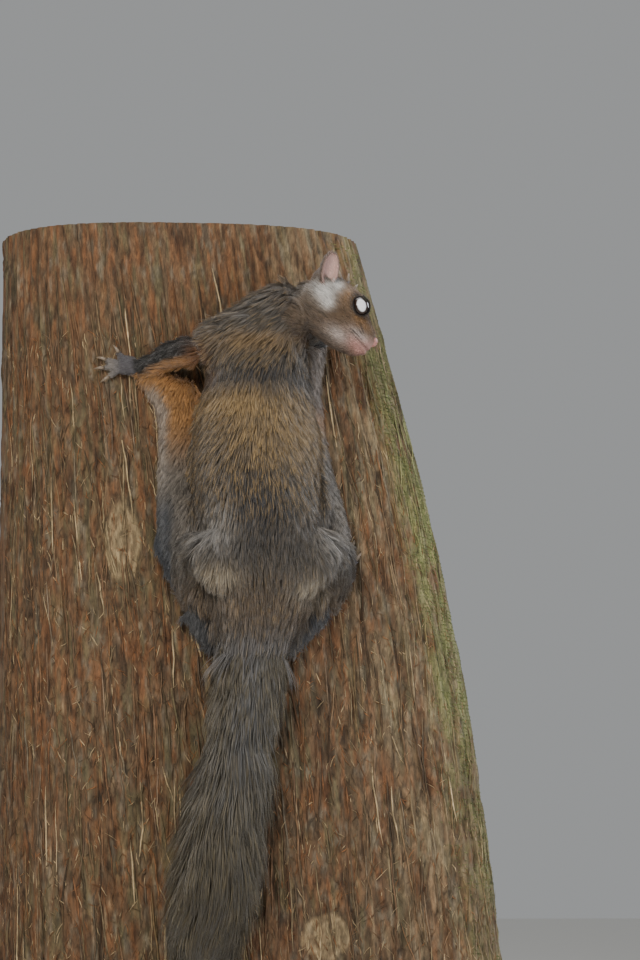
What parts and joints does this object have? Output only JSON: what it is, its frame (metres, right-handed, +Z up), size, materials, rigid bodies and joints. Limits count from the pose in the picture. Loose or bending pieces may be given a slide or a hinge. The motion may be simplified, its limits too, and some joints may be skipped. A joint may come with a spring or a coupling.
{
  "type": "giant flying squirrel clinging to a trunk",
  "caption": "Life-size giant flying squirrel clinging head up to a cut length of tree trunk, bushy tail hanging, on a plain display stand.",
  "frame": {"origin": "middle of the underside of the stand base, below the middle of the overall box", "axes": "+Z up along the trunk and the animal, -Y out of the bark past the animal's back, +X to the right seen from the front"},
  "size_m": [0.5, 0.33, 0.8],
  "materials": {
    "coat": "dense soft fur",
    "dark_coat": "short dark fur",
    "face_coat": "short fur",
    "membrane_coat": "furred skin",
    "bare_skin": "matt skin",
    "hand_skin": "thinly furred skin",
    "eye": "wet gloss",
    "bark": "fibrous bark",
    "painted_board": "satin paint",
    "steel_rod": "brushed"
  },
  "bodies": {
    "root": {"torso": "coat", "neck": "coat", "head": "face_coat", "nose": "bare_skin", "tail": "coat", "eye_left": "eye", "ear_left": "bare_skin", "upper_arm_left": "coat", "forearm_left": "dark_coat", "hand_left": "hand_skin", "thigh_left": "coat", "shank_left": "dark_coat", "foot_left": "hand_skin", "patagium_left": "membrane_coat", "uropatagium_left": "membrane_coat", "eye_right": "eye", "ear_right": "bare_skin", "upper_arm_right": "coat", "forearm_right": "dark_coat", "hand_right": "hand_skin", "thigh_right": "coat", "shank_right": "dark_coat", "foot_right": "hand_skin", "patagium_right": "membrane_coat", "uropatagium_right": "membrane_coat", "perch_trunk": "bark", "stand_base": "painted_board", "stand_rod_left": "steel_rod", "stand_rod_right": "steel_rod"}
  },
  "joints": []
}
